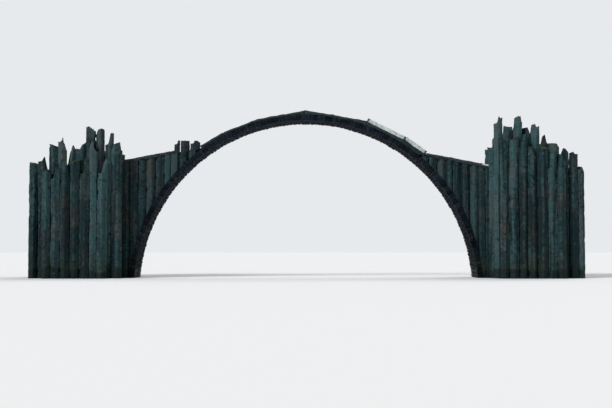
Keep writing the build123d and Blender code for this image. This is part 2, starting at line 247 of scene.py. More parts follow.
class Heap:
    """Stones gathered for one piece, with each point's tone, how worn it is and how worn smooth, each with
    a painted highlight.
    """

    def __init__(self, crease=CREASE):
        self.crease = crease
        self.points = []
        self.faces = []
        self.stones = []
        self.marks = {"tone": [], "wear": [], "bare": []}

    def add(self, points, faces, tones, wear_and_highlight_values, bare_and_highlight_values=None):
        start = len(self.points)
        self.points += points
        self.stones.append(range(len(self.faces), len(self.faces) + len(faces)))
        self.faces += [[start + corner for corner in face] for face in faces]
        self.marks["tone"] += tones
        self.marks["wear"] += wear_and_highlight_values
        self.marks["bare"] += bare_and_highlight_values or [0.0] * len(points)

    def piece(self, name, finish, slot, *replaced):
        """Makes one mesh of the stones, cut level at the water line, that rides on the bridge."""
        mesh = bpy.data.meshes.new(name)
        mesh.from_pydata([(p.x, p.y, max(p.z, 0.0)) for p in self.points], [], self.faces)
        for mark, values in self.marks.items():
            mesh.attributes.new(mark, "FLOAT", "POINT").data.foreach_set("value", values)
        shell = bmesh.new()
        shell.from_mesh(mesh)
        bmesh.ops.recalc_face_normals(shell, faces=shell.faces)
        shell.faces.ensure_lookup_table()
        for stone in self.stones:
            turn_outward(shell, [shell.faces[number] for number in stone])
        shell.to_mesh(mesh)
        shell.free()
        mesh.shade_smooth()
        mesh.set_sharp_from_angle(angle=math.radians(self.crease))
        mesh.materials.append(finish)
        piece = bpy.data.objects.new(name, mesh)
        bpy.context.scene.collection.objects.link(piece)
        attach(piece, "root")
        if replaced:
            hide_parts(*replaced)
        return piece


def turn_outward(shell, stone):
    """Turns the faces of one closed stone over if they all face its inside."""
    corner = stone[0].verts[0].co
    volume = 0.0
    for face in stone:
        volume += (face.calc_center_median() - corner).dot(face.normal) * face.calc_area()
    if volume < 0:
        bmesh.ops.reverse_faces(shell, faces=stone)


def stones_of(node):
    """The separate stones of a frame node, each as its points and its flat faces."""
    shell = bmesh.new()
    shell.from_mesh(NODES[node].data)
    bmesh.ops.remove_doubles(shell, verts=shell.verts, dist=WELD)
    bmesh.ops.dissolve_limit(shell, angle_limit=FLAT_TURN, verts=shell.verts, edges=shell.edges)
    stones = []
    seen = set()
    for first in shell.faces:
        if first in seen:
            continue
        seen.add(first)
        faces = [first]
        for face in faces:
            around = [other for edge in face.edges for other in edge.link_faces if other not in seen]
            faces += list(dict.fromkeys(around))
            seen.update(around)
        corners = list(dict.fromkeys(v for face in faces for v in face.verts))
        place = {v: number for number, v in enumerate(corners)}
        outlines = [[place[v] for v in face.verts] for face in faces]
        stones.append(([v.co.copy() for v in corners], outlines))
    shell.free()
    return stones


def stacked_faces(count, rows):
    """The faces of closed rows of points, one over another: a flat foot, bands, and a tip.

    Every row has the same count of points. The tip is the one point after the last row."""
    faces = [list(range(count))]
    top = count * (rows - 1)
    for start in range(0, top, count):
        for number in range(count):
            here, there = start + number, start + (number + 1) % count
            faces.append([here, there, there + count, here + count])
    return faces + [[top + number, top + (number + 1) % count, top + count] for number in range(count)]


def centre_of(outline):
    return sum(outline, Vector((0, 0))) / len(outline)


def draw_for(name):
    """A stream of random numbers that belongs to one piece."""
    return random.Random(f"moon bridge {name}")


def scattered(draw, reach, axes=2):
    """A vector with each of its parts between minus and plus the reach."""
    return Vector([draw.uniform(-reach, reach) for _ in range(axes)])


def somewhere(draw):
    """A place in the noise that no other stone uses."""
    return scattered(draw, NOISE_REACH, axes=3)


def clamped(value):
    return min(1.0, max(0.0, value))


def ramp(value, start, run):
    """0 up to the start, 1 from a run after it, and even between."""
    return clamped((value - start) / run)


# How many swellings, flakes, knocks, chips and small chips come in a metre of skin
SWELLS, FLAKES, KNOCKS, CHIPS, SMALL_CHIPS = 2.4, 3.1, 9.0, 4.0, 11.0
# How strong small chips are beside chips, and the strength from which they take something off
SMALL_CHIP = 0.4
SOUND_EDGE = 0.20
# Sets the slants of neighbouring flakes apart
FLAKE_SCATTER = 7.0
# How worn an edge looks, with a painted highlight along it, and how fresh a chip does
EDGE_WEAR_AND_HIGHLIGHT = 0.35
CHIP_WEAR = 2.5


def skin_shift(at, seed, edge):
    """How far a point of a stone's skin stands out, and how much is chipped off there."""
    skin = settings().skin
    swell = noise.noise(at * SWELLS + seed)
    knock = noise.noise(at * KNOCKS + seed)
    place = at * FLAKES + seed
    middle = noise.voronoi(place)[1][0]
    flake = (place - middle).dot(noise.cell_vector(middle * FLAKE_SCATTER) - Vector((0.5, 0.5, 0.5)))
    knocked = noise.noise(at * CHIPS - seed) + SMALL_CHIP * noise.noise(at * SMALL_CHIPS - seed)
    chip = edge * max(0.0, knocked - SOUND_EDGE)
    return skin.swell * swell + skin.flake * flake + skin.knock * knock - skin.chip * chip, chip


def wear_and_highlight_at(edge, chip, edge_wear_and_highlight=EDGE_WEAR_AND_HIGHLIGHT):
    """How worn a point looks, with a painted highlight on edges, by how far it is on an edge and how much
    is chipped off there.
    """
    return min(1.0, edge_wear_and_highlight * edge + CHIP_WEAR * chip)


# Upright columns

# Pieces that split off a head: how many, the turn from one to the next in radians, their depth as a
# share of the deepest, where they start as a share of the head's reach, and their rise over run
SPLIT_COUNTS = (1, 2, 2, 3, 3)
SPLIT_TURN = (1.6, 3.6)
SPLIT_DEPTH = (0.15, 1.0)
SPLIT_START = (-0.25, 0.55)
SPLIT_STEEPNESS = (1.5, 9.0)
# Over 1, it makes shallow splits more common than deep ones
SHALLOWNESS = 1.5
# The largest share of a side that a blunted corner takes
LARGEST_CUT = 0.3
# Heights of a column's first block and of the next ones, and the least of its last, in usual blocks
FIRST_BLOCK = (0.3, 1.3)
NEXT_BLOCK = (0.45, 1.6)
LAST_BLOCK = 0.4
# A column of fewer rings than the first is one block, and each block has at least the second
SHORT_COLUMN_RINGS = 3
BLOCK_RINGS = 2
# How many rings a head has where the shaft has one
HEAD_RINGS = 2
# How much the blunting of corners varies from column to column, and the tone from block to block
BLUNTING = (0.6, 1.8)
BLOCK_TONE = 0.14
# How often a column's straying turns in a metre, the two lines of noise that it follows, and the
# height of the foot, which strays less
STRAY_RATE = 0.3
STRAY_LINES = (0, 9)
FIRM_FOOT = 1.0
# The loops of points on a split head and on a whole one, as parts of the way out to its rim
SPLIT_LOOPS = (0.9, 0.76, 0.62, 0.48, 0.34, 0.2)
WHOLE_LOOPS = (0.8, 0.4)
# How much rougher and finer a head is than a side, and how worn it looks
HEAD_ROUGHNESS = 1.6
HEAD_FINENESS = 2.0
HEAD_WEAR = 0.3
# The narrowest pocket beside a tower that a slender column closes
POCKET_WIDTH = 0.08


def head_of(points, faces):
    """The outline in plan of an upright stone's top face, and the height of its plane at a place."""
    upward = []
    for face in faces:
        corners = [points[number] for number in face]
        facing = Vector()
        for a, b in pairwise(corners[1:]):
            facing += (a - corners[0]).cross(b - corners[0])
        upward.append((facing.normalized().z, facing, corners))
    _, facing, corners = max(upward, key=lambda found: found[0])
    origin = corners[0]
    outline = [corner.xy for corner in corners]

    def height(at):
        return origin.z - ((at - origin.xy).dot(facing.xy)) / facing.z

    return outline, height


def split_head(height, centre, reach, deepest, draw):
    """The same head after pieces have split off it along steeper faces."""
    splits = []
    turn = draw.uniform(0, math.tau)
    for _ in range(draw.choice(SPLIT_COUNTS)):
        turn += draw.uniform(*SPLIT_TURN)
        facing = Vector((math.cos(turn), math.sin(turn)))
        depth = deepest * draw.uniform(*SPLIT_DEPTH) ** SHALLOWNESS
        start = reach * draw.uniform(*SPLIT_START)
        splits.append((facing, start, draw.uniform(*SPLIT_STEEPNESS), depth))

    def broken(at):
        lost = 0.0
        for facing, start, steepness, depth in splits:
            lost = max(lost, min(depth, ((at - centre).dot(facing) - start) * steepness))
        return height(at) - lost

    return broken


def blunted(outline, cut, step):
    """Points round a convex outline with blunted corners, each with 1 at a corner and 0 elsewhere."""
    count = len(outline)
    rim = []
    for number, corner in enumerate(outline):
        back = outline[number - 1] - corner
        on = outline[(number + 1) % count] - corner
        cut_here = min(cut, LARGEST_CUT * back.length, LARGEST_CUT * on.length)
        last = corner + on.normalized() * cut_here
        rim += [(corner + back.normalized() * cut_here, 1.0), (last, 1.0)]
        run = on.length - 2 * cut_here
        steps = max(1, round(run / step))
        rim += [(last + on.normalized() * run * number / steps, 0.0) for number in range(1, steps)]
    return rim


class Ring(list):
    """The heights of one ring of a column's points, with its joint and the block that it is in."""

    def __init__(self, heights, block=0, joint=0.0):
        super().__init__(heights)
        self.block = block
        self.joint = joint


def between_rings(low, high, steps):
    """Rings from one list of heights to another, without the last one."""
    return [[a + (b - a) * number / steps for a, b in zip(low, high)] for number in range(steps)]


def column_rings(feet, tops, offsets, draw):
    """The rings of a column: a foot that fits what it stands on, blocks with sloping joints, a head."""
    sizes = settings().columns
    step = sizes.ring_step
    low, high = max(feet), min(tops)
    if high - low < SHORT_COLUMN_RINGS * step:
        steps = max(SHORT_COLUMN_RINGS, round((max(tops) - min(feet)) / step))
        return [Ring(heights) for heights in [*between_rings(feet, tops, steps), tops]]
    level = [low] * len(feet)
    rings = [Ring(heights) for heights in between_rings(feet, level, math.ceil((low - min(feet)) / step))]
    joints = []
    z = low + sizes.block * draw.uniform(*FIRST_BLOCK)
    while z + LAST_BLOCK * sizes.block < high:
        slope = scattered(draw, 1) * sizes.joint_slope
        joints.append([z + slope.dot(offset) for offset in offsets])
        z += sizes.block * draw.uniform(*NEXT_BLOCK)
    marks = [level, *joints, [high] * len(feet)]
    for block, (start, end) in enumerate(pairwise(marks)):
        if block:
            rings.append(Ring(start, block, 1.0))
            start = [z + sizes.cross_joint for z in start]
        end = [z - sizes.cross_joint for z in end]
        steps = max(BLOCK_RINGS, round((sum(end) - sum(start)) / len(feet) / step))
        rings += [Ring(heights, block) for heights in [*between_rings(start, end, steps), end]]
    steps = max(BLOCK_RINGS, math.ceil(HEAD_RINGS * (max(tops) - high) / step))
    return rings + [Ring(heights, block) for heights in [*between_rings(marks[-1], tops, steps), tops]]


def column_blocks(count, draw):
    """How far each block of a column is out of line, and its tone."""
    tone = draw.random()
    shifts, tones = [], []
    for _ in range(count):
        shifts.append(scattered(draw, 1) * settings().columns.shift)
        tones.append(clamped(tone + draw.uniform(-BLOCK_TONE, BLOCK_TONE)))
    return shifts, tones


def add_column(heap, outline, foot, height, draw, break_depth):
    """Adds an upright column: rings of points from its foot up to its head, and its head."""
    sizes = settings().columns
    centre = centre_of(outline)
    reach = min((corner - centre).length for corner in outline)
    seed = somewhere(draw)
    if break_depth:
        height = split_head(height, centre, reach, break_depth, draw)
    rim = blunted(outline, sizes.corner * draw.uniform(*BLUNTING), sizes.side_step)
    rim = [(at + (centre - at).normalized() * sizes.open_joint, edge) for at, edge in rim]
    offsets = [at - centre for at, _ in rim]
    rings = column_rings([foot(at) for at, _ in rim], [height(at) for at, _ in rim], offsets, draw)
    shifts, block_tones = column_blocks(rings[-1].block + 1, draw)

    def strayed(z, block):
        """Where a column's middle is at a height."""
        bend = Vector([noise.noise(seed + Vector((line, 0, STRAY_RATE * z))) for line in STRAY_LINES])
        return centre + shifts[block] + bend * (sizes.wander * min(1.0, z / FIRM_FOOT))

    points, wear_and_highlight_values = [], []
    for ring in rings:
        for (at, edge), offset, z in zip(rim, offsets, ring):
            far, chip = skin_shift(Vector((at.x, at.y, z)), seed, edge)
            far -= ring.joint * sizes.cross_joint
            at = strayed(z, ring.block) + offset + offset.normalized() * far
            points.append(Vector((at.x, at.y, z)))
            wear_and_highlight_values.append(wear_and_highlight_at(max(edge, ring.joint), chip))
    tones = [block_tones[ring.block] for ring in rings for _ in rim]
    middle = strayed(height(centre), rings[-1].block)
    loops = SPLIT_LOOPS if break_depth else WHOLE_LOOPS
    for part, offset in product(loops, offsets):
        at = centre + offset * part
        far, _ = skin_shift(Vector((at.x, at.y, 0)) * HEAD_FINENESS, seed, 0.0)
        z = height(at) + HEAD_ROUGHNESS * far
        points.append(Vector((middle.x + offset.x * part, middle.y + offset.y * part, z)))
    points.append(Vector((middle.x, middle.y, height(centre))))
    in_head = len(points) - len(wear_and_highlight_values)
    faces = stacked_faces(len(rim), len(rings) + len(loops))
    heap.add(points, faces, tones + [block_tones[-1]] * in_head, wear_and_highlight_values + [HEAD_WEAR] * in_head)


def on_water(at):
    """The foot of a column that stands in the water."""
    return 0.0


def on_ring_back(at):
    """The foot of a column that stands on the back of the ring, or beside it in the water."""
    if abs(at.x) >= EXTRADOS:
        return 0.0
    return max(0.0, ARCH_Z + math.sqrt(EXTRADOS**2 - at.x**2))


def on_own_solid(points):
    """The foot of a column whose solid has these points: the height of the lowest one near a place."""
    lowest = {}
    for point in sorted(points, key=lambda p: -p.z):
        lowest[round(point.x, MILLIMETRES), round(point.y, MILLIMETRES)] = point.z

    def foot(at):
        return lowest[min(lowest, key=lambda corner: (Vector(corner) - at).length)]

    return foot


def pocket_beside(outline, row_end):
    """The outline of what a row leaves open between its last column and its end, if it is wide."""
    depth = max(abs(corner.y) for corner in outline)
    front = max((corner for corner in outline if abs(corner.y) > depth - WELD), key=lambda at: abs(at.x))
    back = min(outline, key=lambda at: (round(abs(at.y), MILLIMETRES), -abs(at.x)))
    end = math.copysign(row_end, front.x)
    if abs(end - front.x) < POCKET_WIDTH:
        return None
    corners = [front, Vector((end, front.y)), Vector((end, back.y)), back]
    return corners if abs(end - back.x) > settings().columns.corner else corners[:3]


def columns_of(node, foot, break_depth, finish, row_end=None):
    """Builds the columns of a frame node again, rough and jointed, with heads broken to a depth.

    With no foot given, each column stands as its own solid does. A slender column closes the pocket
    that a row leaves open before its end."""
    draw = draw_for(node)
    heap = Heap()
    heads = []
    for points, faces in stones_of(node):
        outline, height = head_of(points, faces)
        add_column(heap, outline, foot or on_own_solid(points), height, draw, break_depth)
        heads.append((outline, height))
    if row_end:
        outline, height = max(heads, key=lambda head: max(abs(corner.x) for corner in head[0]))
        pocket = pocket_beside(outline, row_end)
        if pocket:
            add_column(heap, pocket, foot, height, draw, break_depth)
    return heap.piece(f"{node}_rough", finish, "column_basalt", node)


# Stones of the arch

# How far a cut may be from its even place, in pieces
UNEVEN_CUT = 0.2
# How much the rounding varies from stone to stone, and the largest share of half a block that it takes
ROUNDING = (0.7, 1.5)
LARGEST_ROUNDING = 0.42
# How quickly a block's rounded edge becomes an edge for chips, and how worn it looks, with a painted
# highlight along it
EDGE_GROWTH = 2.2
BLOCK_EDGE_WEAR_AND_HIGHLIGHT = 0.45
# How much finer a block's skin is than a column's
BLOCK_FINENESS = 1.6
# How far a stone leans along the arch at most, as run over rise
LEAN = 0.03
# The share of voussoirs that are two thinner ones, and where the joint between the two may lie
DOUBLE_SHARE = 0.35
DOUBLE_JOINT = (0.38, 0.62)
# How far voussoirs stand out below and in front, and barrel stones below, in reliefs
SOFFIT_RELIEF = (-0.8, 0.5)
FACE_RELIEF = (-1.0, 0.6)
BARREL_RELIEF = (-0.8, 0.8)
# A barrel stone's size along the arch in slabs, how its usual width varies by row, and its depth
BARREL_SLABS = 1.15
BARREL_WIDTHS = (0.8, 1.3)
BARREL_DEPTH = 0.16
# The joint bed: how deep it lies at its back in bed depths, its tone, how much larger its cells are
# than a stone's, and how rough it is beside one
BED_BACK = 0.4
BED_TONE = 0.3
BED_CELLS = 2.5
BED_ROUGHNESS = 0.6


def on_arch(angle, radius, y):
    return Vector((radius * math.sin(angle), y, ARCH_Z + radius * math.cos(angle)))


def arch_room(points):
    """What a stone of the arch takes up: spans of angle, of radius and of distance across."""
    angles = [math.atan2(p.x, p.z - ARCH_Z) for p in points]
    radii = [math.hypot(p.x, p.z - ARCH_Z) for p in points]
    across = [p.y for p in points]
    return [(min(span), max(span)) for span in (angles, radii, across)]


def cuts(low, high, usual, draw):
    """Uneven pieces between two places, each near a usual length."""
    count = max(1, round((high - low) / usual))
    places = [low]
    for number in range(1, count):
        places.append(low + (high - low) * (number + draw.uniform(-UNEVEN_CUT, UNEVEN_CUT)) / count)
    return list(pairwise([*places, high]))


def lattice_steps(half, rounding, cell):
    """Places along one side of a block from its middle, with one where each end's rounding starts."""
    inner = half - rounding
    count = max(1, round(2 * inner / cell))
    return [-half] + [inner * (2 * number / count - 1) for number in range(count + 1)] + [half]


def lattice_shell(last):
    """The faces on the outside of a lattice, each as its corners' numbers along the three axes."""
    for axis in range(3):
        first, second = (other for other in range(3) if other != axis)
        for end, i, j in product((0, last[axis]), range(last[first]), range(last[second])):
            face = []
            for step_i, step_j in ((0, 0), (1, 0), (1, 1), (0, 1)):
                corner = {axis: end, first: i + step_i, second: j + step_j}
                face.append((corner[0], corner[1], corner[2]))
            yield face


def add_block(heap, sides, place, tone, draw, cell, roughness=1.0):
    """Adds a rough block with rounded edges. Place sets a point of it, given from its middle."""
    half = [side / 2 for side in sides]
    rounding = min(settings().ring.rounding * draw.uniform(*ROUNDING), LARGEST_ROUNDING * min(half))
    steps = [lattice_steps(h, rounding, cell) for h in half]
    seed = somewhere(draw)
    numbers, points, wear_and_highlight_values = {}, [], []

    def number_of(corner):
        """The number of a lattice corner's point, which is made when it is first asked for."""
        if corner not in numbers:
            at = Vector([s[k] for s, k in zip(steps, corner)])
            inner = Vector([max(-h + rounding, min(h - rounding, a)) for a, h in zip(at, half)])
            out = (at - inner).normalized()
            edge = min(1.0, EDGE_GROWTH * (1.0 - max(abs(o) for o in out)))
            at = inner + out * rounding
            far, chip = skin_shift(at * BLOCK_FINENESS, seed, edge)
            at += out * roughness * far
            numbers[corner] = len(points)
            points.append(place(at))
            wear_and_highlight_values.append(wear_and_highlight_at(edge, chip, BLOCK_EDGE_WEAR_AND_HIGHLIGHT))
        return numbers[corner]

    last = [len(s) - 1 for s in steps]
    faces = [[number_of(corner) for corner in face] for face in lattice_shell(last)]
    heap.add(points, faces, [tone] * len(points), wear_and_highlight_values)


def add_arch_block(heap, room, draw):
    """Adds a rough block in its room in the arch, smaller by a joint along it."""
    (a0, a1), (r0, r1), (y0, y1) = room
    sizes = settings().ring
    middle = [(a0 + a1) / 2, (r0 + r1) / 2, (y0 + y1) / 2]
    sides = [(a1 - a0) * middle[1] - sizes.joint, r1 - r0, y1 - y0]
    lean = draw.uniform(-LEAN, LEAN)

    def place(at):
        along = at.x + lean * at.y
        return on_arch(middle[0] + along / middle[1], middle[1] + at.y, middle[2] + at.z)

    add_block(heap, sides, place, draw.random(), draw, sizes.cell)


def voussoirs_of(node, slab, finish):
    """Builds the voussoirs of a frame node again, as thinner slabs set on edge."""
    sizes = settings().ring
    draw = draw_for(node)
    heap = Heap()
    for points, _ in stones_of(node):
        angles, radii, across = arch_room(points)
        outward = 1 if across[1] > 0 else -1
        for wedge in cuts(*angles, slab / INTRADOS, draw):
            layers = [radii]
            if draw.random() < DOUBLE_SHARE:
                split = radii[0] + (radii[1] - radii[0]) * draw.uniform(*DOUBLE_JOINT)
                layers = [(radii[0], split - sizes.joint / 2), (split + sizes.joint / 2, radii[1])]
            for low, high in layers:
                if low == radii[0]:
                    low -= sizes.relief * draw.uniform(*SOFFIT_RELIEF)
                proud = sizes.relief * draw.uniform(*FACE_RELIEF)
                y0, y1 = sorted((min(across, key=abs), max(across, key=abs) + outward * proud))
                add_arch_block(heap, (wedge, (low, high), (y0, y1)), draw)
    return heap.piece(f"{node}_rough", finish, "ring_stone", node)


def barrel_stones(finish):
    """Builds the barrel's courses again, as rows of rubble with staggered joints."""
    sizes = settings().ring
    draw = draw_for("barrel")
    heap = Heap()
    for points, _ in stones_of("barrel_courses"):
        angles, (inner, _), across = arch_room(points)
        for row in cuts(*angles, BARREL_SLABS * sizes.slab / INTRADOS, draw):
            for y0, y1 in cuts(*across, sizes.soffit_stone * draw.uniform(*BARREL_WIDTHS), draw):
                low = inner - sizes.relief * draw.uniform(*BARREL_RELIEF)
                width = (y0 + sizes.joint / 2, y1 - sizes.joint / 2)
                add_arch_block(heap, (row, (low, low + BARREL_DEPTH), width), draw)
    return heap.piece("barrel_courses_rough", finish, "barrel_stone", "barrel_courses")


def arch_bed(finish):
    """The mortar and packing that shows in the arch's joints, behind the stones' skin."""
    sizes = settings().ring
    face = max(abs(co.y) for co in corners_of("front_right_spandrel_columns"))
    foot = math.acos(-ARCH_Z / INTRADOS)
    inner = INTRADOS + sizes.bed_depth
    outer = EXTRADOS - BED_BACK * sizes.bed_depth
    middle = (inner + outer) / 2
    sides = (2 * foot * middle, outer - inner, 2 * (face - sizes.bed_depth))

    def place(at):
        return on_arch(at.x / middle, middle + at.y, at.z)

    heap = Heap()
    add_block(heap, sides, place, BED_TONE, draw_for("arch bed"), BED_CELLS * sizes.cell, BED_ROUGHNESS)
    return heap.piece("arch_joint_bed", finish, "ring_stone")


# Kerb logs

# The logs with a painted highlight on their worn smooth slanting side, by number from the crown
BARE_AND_HIGHLIGHTED_LOGS = {
    "front_right_arch_kerb": (1, 2),
    "rear_right_arch_kerb": (1, 2),
    "front_right_path_kerb": (2,),
    "rear_left_path_kerb": (1,),
}
# Edges that turn by more than the first, in radians, are worn, if they face up by more than the second
WORN_TURN = 0.35
WORN_FACING = -0.4
# How many faces a worn edge has, and their profile, which is round
WORN_FACES = 2
ROUND = 0.5
# Distance between points across a log and up it, in cells, and how near a cut a point is on it
CELLS_ACROSS = 1.4
CELLS_UP = 1.6
ON_CUT = 1e-5
# How quickly a turn in the skin becomes an edge for chips
TURN_GROWTH = 14
# How much rougher a log's skin is than a column's
LOG_ROUGHNESS = 1.6
# How much smoothness and painted highlight an ordinary log may have, and a highlighted one's top beside its
# slanting side
SLIGHTLY_BARE_AND_HIGHLIGHTED = (0.0, 0.3)
TOP_BARE_AND_HIGHLIGHT = 0.45
# How far up and how far sideways a side faces where the painted highlight falls: where it starts, and over
# how much it grows
FACES_UP = (0.42, 0.2)
FACES_SIDEWAYS = (0.3, 1 / 3)


def log_shell(points, faces):
    """A kerb log as a bmesh, and the directions along it and up from its top."""
    shell = bmesh.new()
    corners = [shell.verts.new(p) for p in points]
    for face in faces:
        shell.faces.new([corners[number] for number in face])
    bmesh.ops.recalc_face_normals(shell, faces=shell.faces)
    longest = max(shell.edges, key=lambda edge: edge.calc_length())
    ends = sorted((v.co for v in longest.verts), key=lambda co: co.x)
    along = (ends[1] - ends[0]).normalized()
    up = Vector((-along.z, 0, along.x))
    return shell, along, up


def worn_edges(shell, up):
    """The sharp edges of a log, without those along its underside."""
    worn = []
    for edge in shell.edges:
        facing = sum((face.normal for face in edge.link_faces), Vector()).normalized()
        if edge.calc_face_angle(0.0) > WORN_TURN and facing.dot(up) > WORN_FACING:
            worn.append(edge)
    return worn


def slice_across(shell, facing, step):
    """Cuts a shell by planes at equal steps, so that it has points enough to be roughened."""
    places = [v.co.dot(facing) for v in shell.verts]
    low, high = min(places), max(places)
    count = max(1, round((high - low) / step))
    for number in range(1, count):
        everything = [*shell.verts, *shell.edges, *shell.faces]
        at = facing * (low + (high - low) * number / count)
        bmesh.ops.bisect_plane(shell, geom=everything, dist=ON_CUT, plane_co=at, plane_no=facing)


def bareness_and_highlight(facing, up, from_end):
    """How worn smooth a highlighted log is at a point, and how strong its painted highlight is, by how its
    skin faces there.
    """
    slanting = ramp(abs(facing.y), *FACES_SIDEWAYS)
    unfaded = min(1.0, from_end / settings().kerbs.stained_end)
    return unfaded * ramp(facing.dot(up), *FACES_UP) * (TOP_BARE_AND_HIGHLIGHT + (1 - TOP_BARE_AND_HIGHLIGHT) * slanting)


def add_log(heap, points, faces, is_bare_and_highlighted, draw):
    """Adds a kerb log with worn edges, uneven faces and knocked ends.

    The slanting side of a highlighted log is worn smooth and has a painted highlight, its top less so."""
    sizes = settings().kerbs
    shell, along, up = log_shell(points, faces)
    middle = sum((v.co.dot(along) for v in shell.verts), 0.0) / len(shell.verts)
    half = max(abs(v.co.dot(along) - middle) for v in shell.verts)
    worn = worn_edges(shell, up)
    for vert in shell.verts:
        vert.co -= along * math.copysign(sizes.gap / 2, vert.co.dot(along) - middle)
    bmesh.ops.bevel(
        shell, geom=worn, offset=sizes.blunt * draw.uniform(*ROUNDING), segments=WORN_FACES,
        profile=ROUND, affect="EDGES", clamp_overlap=True,
    )
    slice_across(shell, along, sizes.cell)
    slice_across(shell, Vector((0, 1, 0)), CELLS_ACROSS * sizes.cell)
    slice_across(shell, up, CELLS_UP * sizes.cell)
    shell.normal_update()
    seed = somewhere(draw)
    most_bare_and_highlight = 1.0 if is_bare_and_highlighted else draw.uniform(*SLIGHTLY_BARE_AND_HIGHLIGHTED)
    edges, bare_and_highlight_values, wear_and_highlight_values = [], [], []
    for vert in shell.verts:
        turn = max((1.0 - face.normal.dot(vert.normal) for face in vert.link_faces), default=0.0)
        edges.append(min(1.0, TURN_GROWTH * turn))
        from_end = half - abs(vert.co.dot(along) - middle)
        bare_and_highlight_values.append(most_bare_and_highlight * bareness_and_highlight(vert.normal, up, from_end))
    for vert, edge in zip(shell.verts, edges):
        far, chip = skin_shift(vert.co, seed, edge)
        vert.co += vert.normal * (LOG_ROUGHNESS * far)
        wear_and_highlight_values.append(wear_and_highlight_at(edge, chip))
    bmesh.ops.triangulate(shell, faces=[face for face in shell.faces if len(face.verts) > 4])
    shell.verts.index_update()
    places = [v.co.copy() for v in shell.verts]
    faces = [[v.index for v in face.verts] for face in shell.faces]
    heap.add(places, faces, [draw.random()] * len(places), wear_and_highlight_values, bare_and_highlight_values)
    shell.free()


def logs_of(node, bare_and_highlighted_numbers, finish):
    """Builds the kerb logs of a frame node again. Highlighted, worn smooth ones are given by number from
    the crown.
    """
    draw = draw_for(node)
    heap = Heap()
    logs = sorted(stones_of(node), key=lambda stone: min(abs(point.x) for point in stone[0]))
    for number, (points, faces) in enumerate(logs):
        add_log(heap, points, faces, number in bare_and_highlighted_numbers, draw)
    return heap.piece(f"{node}_rough", finish, "kerb_log", node)


# Paving

# The width of a row, how far every other row is set along, and how far a sett may be from its
# place, all in usual widths of a sett
ROW_WIDTH = 0.92
STAGGER = 0.25
UNEVEN_SETT = 0.2
# A sett's head from its rim inwards: metres from the rim, and height in crowns. Its tip is higher.
DOME = ((0.0, -0.3), (0.006, 0.45), (0.02, 0.85), (0.045, 1.0))
DOME_TIP = 1.1
# The largest share of the way to the middle that a loop of points goes in
LARGEST_INSET = 0.8
# How much the crown varies, and how far a head tilts at most, as rise over run
CROWNS = (0.5, 1.4)
SETT_TILT = 0.04
# Height of the bumps on a head, and how many come in a metre
SETT_BUMP = 0.004
SETT_BUMPS = 14
# The crease of a sett, in degrees, which leaves its dome smooth
SETT_CREASE = 48
# How near the bridge's end a point of a path is at it
PATH_END = 0.01


def clipped(outline, at, facing):
    """What is left of a convex outline behind the line through a point, seen from its facing."""
    kept = []
    for here, there in zip(outline, outline[1:] + outline[:1]):
        before, after = (here - at).dot(facing), (there - at).dot(facing)
        if before <= 0:
            kept.append(here)
        if before * after < 0:
            kept.append(here.lerp(there, before / (before - after)))
    return kept


def packed(run, half_width, pitch, draw):
    """Outlines of setts packed tight in a strip, which runs along X and lies either side of its middle."""
    columns = round(run / pitch)
    rows = round(2 * half_width / (pitch * ROW_WIDTH))
    step_x, step_y = run / columns, 2 * half_width / rows
    centres = {}
    for column, row in product(range(-1, columns + 1), range(-1, rows + 1)):
        along = column + 0.5 + (STAGGER if row % 2 else -STAGGER) + draw.uniform(-UNEVEN_SETT, UNEVEN_SETT)
        across = row + 0.5 + draw.uniform(-UNEVEN_SETT, UNEVEN_SETT)
        centres[column, row] = Vector((step_x * along, step_y * across - half_width))
    strip = [(0, -half_width), (run, -half_width), (run, half_width), (0, half_width)]
    outlines = []
    for column, row in product(range(columns), range(rows)):
        centre = centres[column, row]
        outline = [Vector(corner) for corner in strip]
        for near in product(range(column - 2, column + 3), range(row - 2, row + 3)):
            away = centres.get(near, centre) - centre
            if away.length > 0:
                outline = clipped(outline, centre + away / 2, away.normalized())
        outlines.append(outline)
    return outlines


def add_sett(heap, outline, place, draw):
    """Adds a sett with a domed, worn head. Place sets a point from along, across and above the bed."""
    sizes = settings().paving
    centre = centre_of(outline)
    rim = [at for at, _ in blunted(outline, sizes.rounding, math.inf)]
    crown = sizes.crown * draw.uniform(*CROWNS)
    tilt = scattered(draw, SETT_TILT)
    seed = somewhere(draw)
    loops = [(0.0, -sizes.sunk), *((inset, part * crown) for inset, part in DOME)]
    points, wear_and_highlight_values = [], []
    for (inset, rise), at in product(loops, rim):
        inward = centre - at
        far = min(inset + sizes.joint / 2, LARGEST_INSET * inward.length)
        at = at + inward.normalized() * far
        uneven = SETT_BUMP * noise.noise(Vector((at.x, at.y, 0)) * SETT_BUMPS + seed)
        points.append(place(at, rise + (at - centre).dot(tilt) + uneven))
        wear_and_highlight_values.append(max(0.0, rise / crown))
    points.append(place(centre, crown * DOME_TIP))
    wear_and_highlight_values.append(1.0)
    heap.add(points, stacked_faces(len(rim), len(loops)), [draw.random()] * len(points), wear_and_highlight_values)


def arch_walk():
    """The run and half width of the walk over the arch, and what places a point on it."""
    angles, radii, across = arch_room(corners_of("arch_paving"))

    def place(at, rise):
        return on_arch(angles[0] + at.x / radii[1], radii[1] + rise, at.y)

    return (angles[1] - angles[0]) * radii[1], across[1], place


def path_walk(side):
    """The run and half width of a sloping path, and what places a point on it."""
    points = corners_of(f"{side}_path_paving")
    inner = max(points, key=lambda co: co.z)
    at_end = [co for co in points if abs(abs(co.x) - frame_box[1][0]) < PATH_END]
    outer = max(at_end, key=lambda co: co.z)
    start, end = sorted((inner.copy(), outer.copy()), key=lambda co: co.x)
    start.y = end.y = 0.0
    along = (end - start).normalized()
    up = Vector((-along.z, 0, along.x))

    def place(at, rise):
        return start + along * at.x + Vector((0, at.y, 0)) + up * rise

    return (end - start).length, max(co.y for co in points), place


